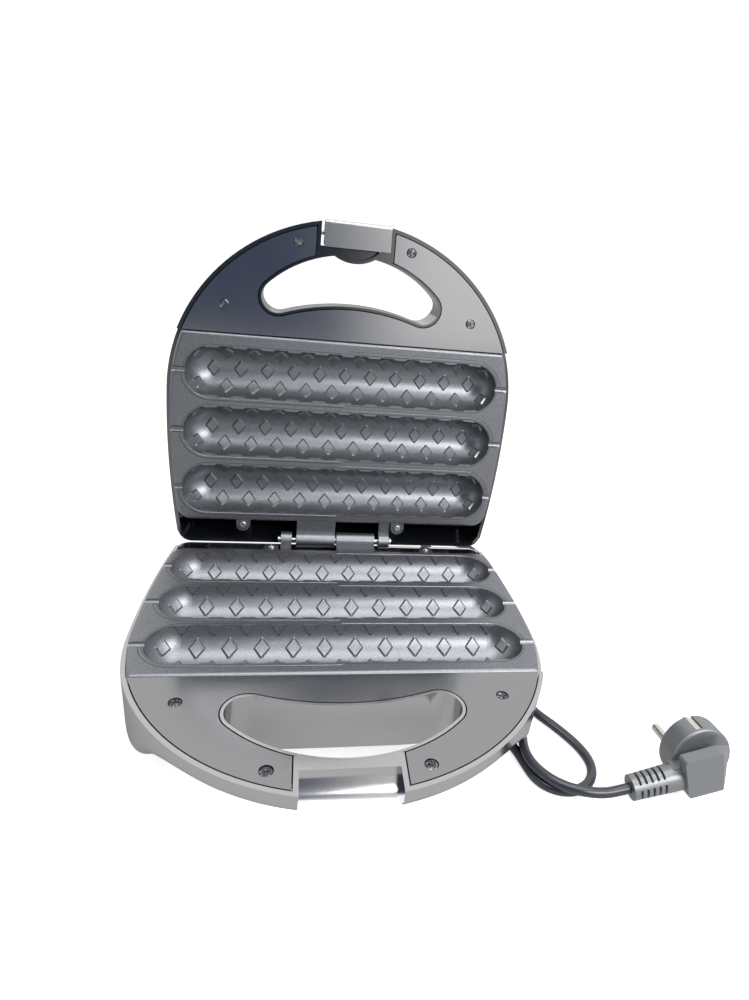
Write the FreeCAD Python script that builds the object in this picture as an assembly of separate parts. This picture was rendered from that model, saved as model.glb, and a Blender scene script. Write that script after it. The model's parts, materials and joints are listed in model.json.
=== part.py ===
"""Hot dog toaster: a hinged, hand-held kitchen appliance with three grooved plates per half.

Built in half coordinates: X right, Y towards the hinge, Z up, with the parting plane at Z = 0 and
the hinge axis along X through Y = 0. Every part of a half is drawn as if it belonged to the base.
The lid's parts are then turned half a turn about Y, which closes them over the base, and swung
open about the hinge. Last, the whole object is moved so that its feet stand at Z = 0.
"""
import FreeCAD, Part
import math
import os

from FreeCAD import Vector

# Stance
OPEN_ANGLE = 96.4
PART_HEIGHT = 46.0
FOOT_HEIGHT = 7.5

# Rim outline, seen from above
FRONT_RADIUS = 118.0
FRONT_CENTRE_Y = -104.4
FRONT_Y = FRONT_CENTRE_Y - FRONT_RADIUS
SIDE_RADIUS = 600.0
REAR_Y = 6.0
REAR_CORNER = 10.0
DRAFT = 2.2

# Shell mouldings
BASE_DEPTH = PART_HEIGHT - FOOT_HEIGHT
LID_DEPTH = 42.0
BASE_HANDLE_DEPTH = 12.5
LID_HANDLE_DEPTH = 14.0
WALL = 2.4
EDGE_ROUND = 7.0
SWEEP_REAR_Y = -140.0
SWEEP_FRONT_Y = -195.0
RIM_GAP = 0.4
SIDE_RIM_DROP = 5.5
REAR_RIM_DROP = 7.0
REAR_RIM_START_Y = -2.0

# Handle hole, a kidney outline
HOLE_FRONT_Y = FRONT_Y + 22.5
HOLE_FRONT_RADIUS = FRONT_RADIUS - 39.2
HOLE_HALF_LENGTH = FRONT_RADIUS - 59.0
HOLE_END_Y = -158.5
HOLE_MIDDLE_Y = -166.6
SLEEVE_WALL = 1.6

# Plate casting
PLATE_FRONT_Y = -143.0
PLATE_REAR_Y = -13.0
PLATE_INSET = 3.0
PLATE_GAP = 0.15
PLATE_CLEARANCE = 0.3
PLATE_THICKNESS = 3.0
PLATE_SKIRT = 6.5
PLATE_EDGE_ROUND = 2.4
PLATE_CORNER = 10.0
GROOVE_COUNT = 3
GROOVE_PITCH = 40.3
GROOVE_REAR_Y = -36.4
GROOVE_RADIUS = 17.0
GROOVE_HALF_LENGTH = 106.0
GROOVE_WALL = 3.0
CHANNEL_RADIUS = 2.2

# Inner cover of the handle. Its screws are given by their angle round the front and their inset.
COVER_THICKNESS = 2.6
COVER_GAP = 0.7
COVER_PLATE_GAP = 0.4
COVER_REAR_Y = PLATE_FRONT_Y - COVER_PLATE_GAP
COVER_SCREWS = ((-34.89, 17.66), (-69.90, 10.34))

# Hinge
KNUCKLE_RADIUS = 5.5
PIN_RADIUS = 1.5
PIN_OVERHANG = 0.6
PIN_HEAD_RADIUS = 2.4
PIN_HEAD_LENGTH = 1.4
WIDE_KNUCKLE = (0.6, 27.6)
SMALL_KNUCKLE = (-38.2, -30.8)
ARM_THICKNESS = 4.0
FIXED_BORE_CLEARANCE = 0.02
RUNNING_CLEARANCE = 0.15

# Plate ears and tongues
EARS_X = (64.6, -44.2)
EAR_Y = -10.0
EAR_RADIUS = 4.7
EAR_TOP = -0.8
EAR_THICKNESS = 3.0
TONGUE_X = 72.0
TONGUE_WIDTH = 16.0
TONGUE_LENGTH = 7.0
TONGUE_THICKNESS = 2.5
POST_RADIUS = 4.0

# Latch
NOTCH_HALF_WIDTH = 22.9
NOTCH_REAR_Y = FRONT_Y + 17.1
LATCH_HALF_WIDTH = 21.0
LATCH_PIVOT_Y = FRONT_Y + 9.4
LATCH_PIVOT_DEPTH = 6.0
LATCH_DRUM_RADIUS = 7.5
LATCH_SKIN = 2.4
LATCH_LIP_GAP = 0.7
LATCH_LIP_THICKNESS = 3.2
LATCH_LIP_REAR_Y = FRONT_Y + 18.4
LATCH_CHEEK = 3.0
LATCH_WEB = 1.2
LATCH_PIN_RADIUS = 1.5
LATCH_PIN_HALF_LENGTH = 25.0
POCKET_RADIUS = 22.2
POCKET_WALL = 2.0
POCKET_FRONT_Y = FRONT_Y + 27.7
SCOOP_FOOT_Y = FRONT_Y + 6.1

# Screws
COVER_SCREW_RADIUS = 1.5
COVER_SCREW_LENGTH = 8.0
COVER_HEAD_RADIUS = 3.15
COVER_HEAD_HEIGHT = 1.5
EAR_SCREW_RADIUS = 1.3
EAR_SCREW_LENGTH = 12.0
EAR_HEAD_RADIUS = 2.2
EAR_HEAD_HEIGHT = 1.4
CROSS_WIDTH = 0.7

# Heating element and what hangs under each plate
ELEMENT_RADIUS = 2.9
ELEMENT_CLEARANCE = 0.1
ELEMENT_END_X = -97.0
TERMINAL_RADIUS = 1.2
TERMINAL_LENGTH = 9.0
STUB_X = 50.0
STUB_RADIUS = 4.5
STUB_DEPTH = 24.2
REFLECTOR_HALF_LENGTH = 92.0
REFLECTOR_FLANGE = 4.0
REFLECTOR_THICKNESS = 0.8
REFLECTOR_MARGIN = 6.0
REFLECTOR_SCREW_RADIUS = 1.9
REFLECTOR_SCREW_LENGTH = 5.5
REFLECTOR_HEAD_RADIUS = 3.6
REFLECTOR_HEAD_HEIGHT = 2.2
THERMOSTAT_X = -20.0
THERMOSTAT_RADIUS = 8.2
THERMOSTAT_HEIGHT = 9.0
THERMOSTAT_HOLE_CLEARANCE = 1.5
TAB_LENGTH = 6.0
TAB_WIDTH = 6.2
TAB_THICKNESS = 0.8
TAB_OFFSET = 4.5
FUSE_RADIUS = 2.0
FUSE_LENGTH = 26.0
FUSE_SETBACK = 42.0

# Feet
FOOT_FRONT = (78.0, -122.0)
FOOT_REAR = (92.0, -13.0)
FOOT_RADIUS = 8.0
FOOT_STEM_RADIUS = 2.6
FOOT_STEM_CLEARANCE = 0.15
FOOT_BUTTON_RADIUS = 4.2
FOOT_BUTTON_HEIGHT = 2.0

# Indicator lamps on the lid
LAMP_X = 11.0
LAMP_Y = -96.0
LENS_RADIUS = 4.5
LENS_RISE = 1.6
LENS_STEM = 7.0
LENS_CLEARANCE = 0.1
LAMP_RADIUS = 2.4
LAMP_LENGTH = 9.0

# Mains cord, as it leaves the base and lies on the surface
CORD_RADIUS = 2.65
CORD_EXIT_X = 75.0
CORD_EXIT_Z = -25.0
RELIEF_LENGTH = 30.0
RELIEF_ROOT_RADIUS = 6.2
RELIEF_TIP_RADIUS = 4.4
RELIEF_FLANGE = 1.6
RELIEF_FLANGE_RADIUS = 8.0
RELIEF_NECK_RADIUS = 5.0
RELIEF_SLOTS = 5
RELIEF_SLOT_WIDTH = 1.5
RELIEF_SLOT_PITCH = 4.4
RELIEF_SLOT_START = 5.0
RELIEF_SPINE_WIDTH = 2.4
CORD_TAIL_LENGTH = 32.0
CLAMP_Y = REAR_Y - 25.0
CLAMP_LENGTH = 22.0
CLAMP_WIDTH = 7.0
CLAMP_THICKNESS = 2.2
CLAMP_SCREW_OFFSET = 7.5
CLAMP_POST_RADIUS = 3.0
CLAMP_SCREW_RADIUS = 1.3
CLAMP_SCREW_LENGTH = 12.0
CLAMP_HEAD_RADIUS = 2.6
CLAMP_HEAD_HEIGHT = 1.6

# Free stretch of the cord: x, y from the hinge axis, and height above the surface it lies on
CORD_FLOOR = CORD_RADIUS + 0.05
CORD_OVER = 3 * CORD_RADIUS + 0.25
CORD_ROUTE = (
    (75.0, 50.0, 21.0),
    (80.0, 64.0, 14.0),
    (92.0, 74.5, 7.0),
    (107.0, 78.0, 3.2),
    (120.0, 71.5, CORD_FLOOR),
    (127.5, 56.0, CORD_FLOOR),
    (129.0, 35.0, CORD_FLOOR),
    (127.5, 5.0, CORD_FLOOR),
    (125.5, -27.0, CORD_FLOOR),
    (121.5, -60.0, CORD_FLOOR),
    (116.5, -88.0, CORD_FLOOR),
    (114.2, -104.0, CORD_FLOOR),
    (114.6, -116.6, CORD_FLOOR),
    (118.6, -127.6, CORD_FLOOR),
    (125.2, -136.6, CORD_FLOOR),
    (131.0, -145.6, CORD_FLOOR),
    (136.0, -155.2, CORD_FLOOR),
    (138.5, -164.8, CORD_FLOOR),
    (137.5, -173.3, CORD_FLOOR),
    (132.8, -180.5, CORD_FLOOR),
    (125.5, -184.9, CORD_FLOOR),
    (116.9, -185.6, CORD_FLOOR),
    (108.9, -182.3, CORD_FLOOR),
    (103.2, -175.9, CORD_FLOOR),
    (100.6, -165.9, CORD_FLOOR),
    (98.3, -155.2, CORD_FLOOR),
    (94.2, -147.2, CORD_FLOOR),
    (87.0, -141.6, CORD_FLOOR),
    (77.7, -139.1, CORD_FLOOR),
    (67.2, -134.6, CORD_FLOOR),
    (61.6, -128.0, CORD_FLOOR),
    (59.5, -119.7, CORD_FLOOR),
    (61.3, -111.2, CORD_FLOOR),
    (66.7, -104.5, CORD_FLOOR),
    (74.5, -100.8, CORD_FLOOR),
    (83.1, -101.0, CORD_FLOOR),
    (90.8, -105.0, CORD_FLOOR),
    (99.7, -114.9, CORD_FLOOR),
    (103.6, -126.6, CORD_FLOOR),
    (105.4, -137.9, CORD_FLOOR),
    (104.6, -148.2, 4.1),
    (101.4, -157.0, 7.9),
    (100.9, -166.2, CORD_OVER),
    (103.7, -174.7, CORD_OVER),
    (109.4, -182.4, CORD_OVER),
    (117.3, -188.3, CORD_OVER),
    (126.6, -191.4, CORD_OVER),
    (134.9, -192.1, 7.7),
)
CORD_ARC_SHARE = 0.45

# Two-pin earthed plug, lying on its side: it is drawn with the cord along X and its pins along Y
PLUG_TIP = (150.1, -191.0, 9.3)
PLUG_ROLL = -7.6
PLUG_RISE = 9.9
PLUG_TURN = 3.9
PLUG_LEAD = 8.5
PLUG_RELIEF_LENGTH = 21.0
PLUG_RELIEF_TIP = 6.4
PLUG_RELIEF_ROOT = 7.0
PLUG_NECK_LENGTH = 9.0
PLUG_SLOTS = 5
PLUG_SLOT_START = 3.0
PLUG_SLOT_PITCH = 3.4
PLUG_SLOT_WIDTH = 1.4
PLUG_SPINE_WIDTH = 2.6
PLUG_SPINE_TURN = 30.0
PLUG_AXIS_X = 44.0
PLUG_DRUM_RADIUS = 17.9
PLUG_DRUM_REAR = 3.2
PLUG_DRUM_ROUND = 1.2
PLUG_FACE = 16.8
PLUG_GRIP_BACK = -9.0
PLUG_GRIP_THICKNESS = 7.0
PLUG_GRIP_ROUND = 1.6
PLUG_GRIP_BEVEL = 9.0
PLUG_WEB_REAR_X = 24.0
PLUG_WEB_FRONT_X = 52.0
PLUG_WEB_HALF_HEIGHT = 7.0
PIN_SPACING = 19.0
PLUG_PIN_RADIUS = 2.4
PLUG_PIN_LENGTH = 19.0
PLUG_PIN_ROUND = 1.8
PLUG_ROOT_RADIUS = 1.9
PLUG_ROOT_LENGTH = 8.0
EARTH_WIDTH = 4.0
EARTH_THICKNESS = 0.8
EARTH_DEPTH = 1.0

# The grip's outline: x from the axis of the drum, height from the axis of the cord
PLUG_GRIP = ((-17, 14.5), (4, 15), (12, 13), (12.5, 9), (7.5, -4), (6, -7.5), (-15, -7.5))

X_AXIS = Vector(1, 0, 0)
Y_AXIS = Vector(0, 1, 0)
Z_AXIS = Vector(0, 0, 1)
ORIGIN = Vector(0, 0, 0)
FAR = 400.0


def box(x0, x1, y0, y1, z0, z1):
    """Box between two corners."""
    return Part.makeBox(x1 - x0, y1 - y0, z1 - z0, Vector(x0, y0, z0))


def post(radius, x, y, z0, z1):
    """Upright cylinder between two heights."""
    return Part.makeCylinder(radius, z1 - z0, Vector(x, y, z0), Z_AXIS)


def rod(radius, x0, x1, y, z):
    """Cylinder along X."""
    return Part.makeCylinder(radius, x1 - x0, Vector(x0, y, z), X_AXIS)


def arc(p, q, r):
    """Arc edge through three points."""
    return Part.Arc(p, q, r).toShape()


def line(p, q):
    return Part.LineSegment(p, q).toShape()


def joined(shapes):
    """One solid out of overlapping ones, with flush faces merged."""
    result = shapes[0].fuse(shapes[1:]) if len(shapes) > 1 else shapes[0]
    return result.removeSplitter()


def mirrored_x(shape):
    return shape.mirror(ORIGIN, X_AXIS)


def rim_wire(inset, z):
    """Outline of the rim drawn inward by inset: round front, bowed sides, rounded rear corners."""
    front = FRONT_RADIUS - inset
    side = SIDE_RADIUS - inset
    corner = max(REAR_CORNER - inset, 1.0)
    cx = FRONT_RADIUS - SIDE_RADIUS
    cy = FRONT_CENTRE_Y
    rear = REAR_Y - inset
    corner_y = rear - corner
    corner_x = cx + math.sqrt((side - corner) ** 2 - (corner_y - cy) ** 2)
    turn = math.atan2(corner_y - cy, corner_x - cx)

    def on_side(angle):
        return Vector(cx + side * math.cos(angle), cy + side * math.sin(angle), z)

    def on_corner(angle):
        return Vector(corner_x + corner * math.cos(angle), corner_y + corner * math.sin(angle), z)

    def left(p):
        return Vector(-p.x, p.y, p.z)

    def on_front(angle):
        return Vector(front * math.cos(angle), cy + front * math.sin(angle), z)

    half = math.pi / 2
    middle = (turn + half) / 2
    edges = [
        arc(on_front(-half), on_front(-half / 2), on_front(0)),
        arc(on_front(0), on_side(turn / 2), on_side(turn)),
        arc(on_side(turn), on_corner(middle), on_corner(half)),
        line(on_corner(half), left(on_corner(half))),
        arc(left(on_corner(half)), left(on_corner(middle)), left(on_side(turn))),
        arc(left(on_side(turn)), left(on_side(turn / 2)), left(on_front(0))),
        arc(left(on_front(0)), left(on_front(-half / 2)), on_front(-half)),
    ]
    return Part.Wire(edges)


def prism(wire, height):
    """Solid between a flat wire and its copy raised by height."""
    return Part.Face(wire).extrude(Vector(0, 0, height))


def profile_prism(points_or_edges, half_width):
    """Solid from a closed YZ outline, from -half_width to +half_width along X."""
    face = Part.Face(Part.Wire(points_or_edges))
    face.translate(Vector(-half_width, 0, 0))
    return face.extrude(Vector(2 * half_width, 0, 0))


def sweep_curve(depth, handle_depth):
    """Radius and turn of the two equal arcs that carry the deep part up to the handle."""
    rise = depth - handle_depth
    run = SWEEP_REAR_Y - SWEEP_FRONT_Y
    turn = 2 * math.atan2(rise, run)
    return rise / (2 * (1 - math.cos(turn))), turn


def underside(depth, handle_depth, inset):
    """Solid above the underside of a half: flat under the plates, swept up to the handle."""
    radius, turn = sweep_curve(depth, handle_depth)
    low = radius - inset
    high = radius + inset
    cy1 = SWEEP_REAR_Y
    cz1 = -depth + radius
    cy2 = SWEEP_FRONT_Y
    cz2 = -handle_depth - radius

    def on_low(angle):
        return Vector(0, cy1 - low * math.sin(angle), cz1 - low * math.cos(angle))

    def on_high(angle):
        return Vector(0, cy2 + high * math.sin(angle), cz2 + high * math.cos(angle))

    rear = Vector(0, REAR_Y + FAR, -depth + inset)
    front = Vector(0, -FAR, -handle_depth + inset)
    front_top = Vector(0, -FAR, FAR)
    rear_top = Vector(0, REAR_Y + FAR, FAR)
    edges = [
        line(rear, on_low(0)),
        arc(on_low(0), on_low(turn / 2), on_low(turn)),
        arc(on_high(turn), on_high(turn / 2), on_high(0)),
        line(on_high(0), front),
        line(front, front_top),
        line(front_top, rear_top),
        line(rear_top, rear),
    ]
    return profile_prism(edges, FAR)


def body_form(depth, handle_depth, inset, top):
    """Outer form of a half (or, drawn inward, its cavity), from its underside to height top."""
    slope = DRAFT / depth
    upper = rim_wire(inset - slope * top, top)
    lower = rim_wire(inset + DRAFT, -depth)
    walls = Part.makeLoft([upper, lower], True, True)
    form = walls.common(underside(depth, handle_depth, inset))
    round_edges = []
    for edge in form.Edges:
        bounds = edge.BoundBox
        across = bounds.XLength > 2 * bounds.YLength + 60 and bounds.YMax < REAR_Y - 30
        smooth_joint = across and bounds.ZLength < 0.01 and bounds.YLength < 0.01
        if bounds.ZMax < top - 1.0 and not smooth_joint:
            round_edges.append(edge)
    return form.makeFillet(EDGE_ROUND - inset, round_edges)


def kidney(offset, z):
    """Handle hole's outline, drawn outward by offset. Three circles set it, each touching the next."""
    front_cy = HOLE_FRONT_Y + HOLE_FRONT_RADIUS
    rise = HOLE_END_Y - front_cy
    b = -2 * HOLE_HALF_LENGTH - 2 * rise + 2 * HOLE_FRONT_RADIUS
    c = HOLE_HALF_LENGTH ** 2 + rise ** 2 - HOLE_FRONT_RADIUS ** 2
    end_r = (-b + math.sqrt(b * b - 4 * c)) / 2
    end_x = HOLE_HALF_LENGTH - end_r
    end_y = HOLE_END_Y - end_r
    gap = HOLE_MIDDLE_Y - end_y
    middle_r = (end_x ** 2 + gap ** 2 - end_r ** 2) / (2 * (end_r - gap))
    middle_cy = HOLE_MIDDLE_Y + middle_r

    front_turn = math.atan2(end_y - front_cy, end_x)
    middle_turn = math.atan2(middle_cy - end_y, -end_x)
    r_front = HOLE_FRONT_RADIUS + offset
    r_end = end_r + offset
    r_middle = middle_r - offset

    def on_front(angle):
        return Vector(r_front * math.cos(angle), front_cy + r_front * math.sin(angle), z)

    def on_end(angle):
        return Vector(end_x + r_end * math.cos(angle), end_y + r_end * math.sin(angle), z)

    def on_middle(x):
        return Vector(x, middle_cy - math.sqrt(r_middle ** 2 - x ** 2), z)

    def left(p):
        return Vector(-p.x, p.y, p.z)

    far_end = on_end(middle_turn)
    half_turn = (front_turn + middle_turn) / 2
    edges = [
        arc(left(on_front(front_turn)), on_front(-math.pi / 2), on_front(front_turn)),
        arc(on_front(front_turn), on_end(half_turn), far_end),
        arc(far_end, on_middle(0), left(far_end)),
        arc(left(far_end), left(on_end(half_turn)), left(on_front(front_turn))),
    ]
    return Part.Wire(edges)


def hole_prism(offset):
    wire = kidney(offset, -FAR)
    return prism(wire, 2 * FAR)


def groove_ys():
    return [GROOVE_REAR_Y - i * GROOVE_PITCH for i in range(GROOVE_COUNT)]


def capsule(radius, half_length, y):
    """Rod with round ends along X."""
    straight = half_length - radius
    a = Vector(-half_length, y, 0)
    b = Vector(-straight - radius * math.sqrt(0.5), y + radius * math.sqrt(0.5), 0)
    c = Vector(-straight, y + radius, 0)
    d = Vector(straight, y + radius, 0)
    e = Vector(straight + radius * math.sqrt(0.5), y + radius * math.sqrt(0.5), 0)
    f = Vector(half_length, y, 0)
    edges = [arc(a, b, c), arc(d, e, f), line(f, a)]
    if straight > 0:
        edges.insert(1, line(c, d))
    return Part.Face(Part.Wire(edges)).revolve(Vector(0, y, 0), X_AXIS, 360)


def plate_outline(inset, z0, z1):
    """Slab with the plate's outline: the rim's sides, cut straight at the handle and the hinge."""
    slab = prism(rim_wire(PLATE_INSET + inset, z0), z1 - z0)
    window = box(-FAR, FAR, PLATE_FRONT_Y + inset, PLATE_REAR_Y - inset, z0, z1)
    slab = slab.common(window)
    corner = PLATE_CORNER - inset
    rear = []
    for edge in slab.Edges:
        upright = edge.BoundBox.ZLength > z1 - z0 - 0.01 and edge.BoundBox.XLength < 0.01
        if upright and abs(edge.BoundBox.YMax - (PLATE_REAR_Y - inset)) < 0.01:
            rear.append(edge)
    return slab.makeFillet(corner, rear)


def plate():
    """One casting. Both plates are the same part, and close on each other groove to groove."""
    top = -PLATE_GAP
    rim = plate_outline(0, -PLATE_SKIRT, top)
    edges = [e for e in rim.Edges if abs(e.BoundBox.ZMin - top) < 0.01 and e.BoundBox.ZLength < 0.01]
    rim = rim.makeFillet(PLATE_EDGE_ROUND, edges)
    hollow = plate_outline(WALL, -PLATE_SKIRT - 1, top - PLATE_THICKNESS)
    body = rim.cut(hollow)
    keep = box(-FAR, FAR, PLATE_FRONT_Y, PLATE_REAR_Y, -FAR, top - 0.5)
    trough_radius = GROOVE_RADIUS + GROOVE_WALL
    trough_half_length = GROOVE_HALF_LENGTH + GROOVE_WALL
    troughs = [capsule(trough_radius, trough_half_length, y) for y in groove_ys()]
    parts = [body] + [t.common(keep) for t in troughs]
    ys = groove_ys()
    for x in (-STUB_X, STUB_X):
        for y in (ys[0], ys[-1]):
            stub = post(STUB_RADIUS, x, y, -STUB_DEPTH, -GROOVE_RADIUS - 1.5)
            parts.append(stub)
    parts += hinge_leaf()
    parts += ears()
    parts += tongues()
    body = joined(parts)
    cutters = [capsule(GROOVE_RADIUS, GROOVE_HALF_LENGTH, y) for y in ys]
    cutters += [rod(CHANNEL_RADIUS, -FAR, FAR, y, 0) for y in ys]
    bore = PIN_RADIUS + FIXED_BORE_CLEARANCE
    cutters.append(rod(bore, SMALL_KNUCKLE[0] - 1, WIDE_KNUCKLE[1] + 1, 0, 0))
    for x in EARS_X:
        cutters.append(post(EAR_SCREW_RADIUS + 0.2, x, EAR_Y, -FAR, 0))
    for x in (-STUB_X, STUB_X):
        for y in (ys[0], ys[-1]):
            end = -STUB_DEPTH + REFLECTOR_SCREW_LENGTH - REFLECTOR_THICKNESS + 0.2
            cutters.append(post(REFLECTOR_SCREW_RADIUS, x, y, -STUB_DEPTH - 1, end))
    return body.cut(cutters)


def hinge_leaf():
    """Two knuckles of one plate with the arms that carry them."""
    pieces = []
    for x0, x1 in (WIDE_KNUCKLE, SMALL_KNUCKLE):
        pieces.append(rod(KNUCKLE_RADIUS, x0, x1, 0, 0))
        top = EAR_TOP
        pieces.append(box(x0, x1, PLATE_REAR_Y - WALL, 0, top - ARM_THICKNESS, top))
    return pieces


def ears():
    pieces = []
    for x in EARS_X:
        z0 = EAR_TOP - EAR_THICKNESS
        pieces.append(post(EAR_RADIUS, x, EAR_Y, z0, EAR_TOP))
        pieces.append(box(x - EAR_RADIUS, x + EAR_RADIUS, PLATE_REAR_Y - WALL, EAR_Y, z0, EAR_TOP))
    return pieces


def tongues():
    """Two tongues that reach under the handle cover."""
    z1 = -RIM_GAP - COVER_THICKNESS - 0.2
    z0 = z1 - TONGUE_THICKNESS
    pieces = []
    for x in (-TONGUE_X, TONGUE_X):
        half = TONGUE_WIDTH / 2
        front = PLATE_FRONT_Y - TONGUE_LENGTH
        pieces.append(box(x - half, x + half, front, PLATE_FRONT_Y + WALL, z0, z1))
    return pieces


def cover_screw_places():
    """Places of the handle's screws, left and right."""
    places = []
    for angle, inset in COVER_SCREWS:
        x = (FRONT_RADIUS - inset) * math.cos(math.radians(angle))
        y = FRONT_CENTRE_Y + (FRONT_RADIUS - inset) * math.sin(math.radians(angle))
        places += [(-x, y), (x, y)]
    return places


def shell(depth, handle_depth, ears_x, is_lid):
    """Moulded half shell, drawn open side up."""
    outer = body_form(depth, handle_depth, 0, -RIM_GAP)
    cavity = body_form(depth, handle_depth, WALL, 1.0)
    walls = outer.cut(cavity)
    parts = [walls, hole_prism(SLEEVE_WALL).common(outer)]
    block = NOTCH_HALF_WIDTH + WALL
    parts.append(box(-block, block, -FAR, HOLE_FRONT_Y + 2, -handle_depth, -RIM_GAP).common(outer))
    if is_lid:
        pocket_y = POCKET_FRONT_Y - POCKET_RADIUS - POCKET_WALL
        parts.append(post(POCKET_RADIUS + POCKET_WALL, 0, pocket_y, -FAR, 0).common(outer))
    bosses = []
    boss_top = -RIM_GAP - COVER_THICKNESS
    for x, y in cover_screw_places():
        bosses.append(post(POST_RADIUS, x, y, -FAR, boss_top))
    behind_skirt = box(-FAR, FAR, PLATE_REAR_Y + PLATE_CLEARANCE, FAR, -FAR, FAR)
    for x in ears_x:
        ear_post = post(POST_RADIUS, x, EAR_Y, -FAR, EAR_TOP - EAR_THICKNESS)
        bosses.append(ear_post.common(behind_skirt))
    tongue_seat = boss_top - 0.2 - TONGUE_THICKNESS
    for x in (-TONGUE_X, TONGUE_X):
        half = TONGUE_WIDTH / 2 - 1
        y = PLATE_FRONT_Y - TONGUE_LENGTH / 2
        bosses.append(box(x - half, x + half, y - 1.5, y + 1.5, -FAR, tongue_seat))
    parts += [b.common(outer) for b in bosses]
    body = joined(parts)
    cutters = []
    hole = hole_prism(0)
    if is_lid:
        pocket_y = POCKET_FRONT_Y - POCKET_RADIUS - POCKET_WALL
        hole = hole.cut(post(POCKET_RADIUS + POCKET_WALL, 0, pocket_y, -FAR, FAR))
        span = box(-NOTCH_HALF_WIDTH, NOTCH_HALF_WIDTH, -FAR, FAR, -FAR, FAR)
        cutters.append(span.common(box(-FAR, FAR, -FAR, NOTCH_REAR_Y + 0.7, -FAR, FAR)))
        cutters.append(span.common(post(POCKET_RADIUS, 0, pocket_y, -handle_depth + WALL, FAR)))
        cutters.append(latch_pin())
    else:
        cutters.append(scoop(handle_depth))
    cutters.append(hole)
    side_rim = box(-FAR, FAR, COVER_REAR_Y, FAR, -SIDE_RIM_DROP, FAR)
    cutters.append(side_rim.cut(box_of_bosses(ears_x)))
    cutters.append(box(-FAR, FAR, REAR_RIM_START_Y, FAR, -REAR_RIM_DROP, FAR))
    for x, y in cover_screw_places():
        cutters.append(post(COVER_SCREW_RADIUS, x, y, boss_top - COVER_SCREW_LENGTH, FAR))
    for x in ears_x:
        top = EAR_TOP - EAR_THICKNESS
        cutters.append(post(EAR_SCREW_RADIUS, x, EAR_Y, top - EAR_SCREW_LENGTH + EAR_THICKNESS, FAR))
    return body.cut(cutters)


def box_of_bosses(ears_x):
    """Room kept round the ear posts, which stand higher than the side rim."""
    return joined([post(POST_RADIUS + 0.5, x, EAR_Y, -FAR, FAR) for x in ears_x])


def scoop(handle_depth):
    """Hollow in the base's handle that the latch closes into."""
    rim = Vector(0, NOTCH_REAR_Y - 0.7, FAR)
    top = Vector(0, NOTCH_REAR_Y - 0.7, -RIM_GAP)
    foot = Vector(0, SCOOP_FOOT_Y, -handle_depth)
    middle = Vector(0, (top.y + foot.y) / 2 + 1.6, (top.z + foot.z) / 2 - 1.6)
    below = Vector(0, SCOOP_FOOT_Y, -FAR)
    out_low = Vector(0, -FAR, -FAR)
    out_high = Vector(0, -FAR, FAR)
    edges = [
        line(rim, top),
        arc(top, middle, foot),
        line(foot, below),
        line(below, out_low),
        line(out_low, out_high),
        line(out_high, rim),
    ]
    return profile_prism(edges, NOTCH_HALF_WIDTH)


def handle_cover(is_lid):
    """Flat inner cover of the handle, flush with the rim."""
    top = -RIM_GAP
    face = prism(rim_wire(WALL + COVER_GAP, top - COVER_THICKNESS), COVER_THICKNESS)
    face = face.common(box(-FAR, FAR, -FAR, COVER_REAR_Y, -FAR, FAR))
    gap = SLEEVE_WALL + COVER_GAP
    half = NOTCH_HALF_WIDTH + WALL + COVER_GAP
    cutters = [hole_prism(gap), box(-half, half, -FAR, HOLE_FRONT_Y + 10, -FAR, FAR)]
    for x, y in cover_screw_places():
        cutters.append(post(COVER_SCREW_RADIUS + 0.2, x, y, -FAR, FAR))
        cutters.append(post(COVER_HEAD_RADIUS + 0.25, x, y, top - COVER_HEAD_HEIGHT - 0.2, FAR))
    return face.cut(cutters)


def screw(x, y, seat, shank_r, length, head_r, head_h, up=1):
    """Cross-head screw: its head sits on seat, its shank runs the other way."""
    head = post(head_r, 0, 0, 0, head_h)
    dome = [e for e in head.Edges if abs(e.BoundBox.ZMin - head_h) < 0.01 and e.BoundBox.XLength > head_r]
    head = head.makeFillet(head_h * 0.45, dome)
    slot = head_r * 0.6
    deep = head_h * 0.5
    cross = [
        box(-slot, slot, -CROSS_WIDTH / 2, CROSS_WIDTH / 2, deep, head_h + 1),
        box(-CROSS_WIDTH / 2, CROSS_WIDTH / 2, -slot, slot, deep, head_h + 1),
    ]
    body = joined([head, post(shank_r, 0, 0, -length, head_h * 0.3)]).cut(joined(cross))
    if up < 0:
        body.rotate(ORIGIN, X_AXIS, 180)
    body.translate(Vector(x, y, seat))
    return body


def cover_screws():
    seat = -RIM_GAP - COVER_HEAD_HEIGHT - 0.2
    reach = COVER_SCREW_LENGTH + seat + RIM_GAP + COVER_THICKNESS
    sizes = (COVER_SCREW_RADIUS, reach, COVER_HEAD_RADIUS, COVER_HEAD_HEIGHT)
    return [screw(x, y, seat, *sizes) for x, y in cover_screw_places()]


def ear_screws():
    sizes = (EAR_SCREW_RADIUS, EAR_SCREW_LENGTH, EAR_HEAD_RADIUS, EAR_HEAD_HEIGHT)
    return [screw(x, EAR_Y, EAR_TOP, *sizes) for x in EARS_X]


def element_line():
    """Depth of the element's axis: the tube lies in the valleys and touches both troughs."""
    reach = GROOVE_RADIUS + GROOVE_WALL + ELEMENT_RADIUS + ELEMENT_CLEARANCE
    return -math.sqrt(reach ** 2 - (GROOVE_PITCH / 2) ** 2)


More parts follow.
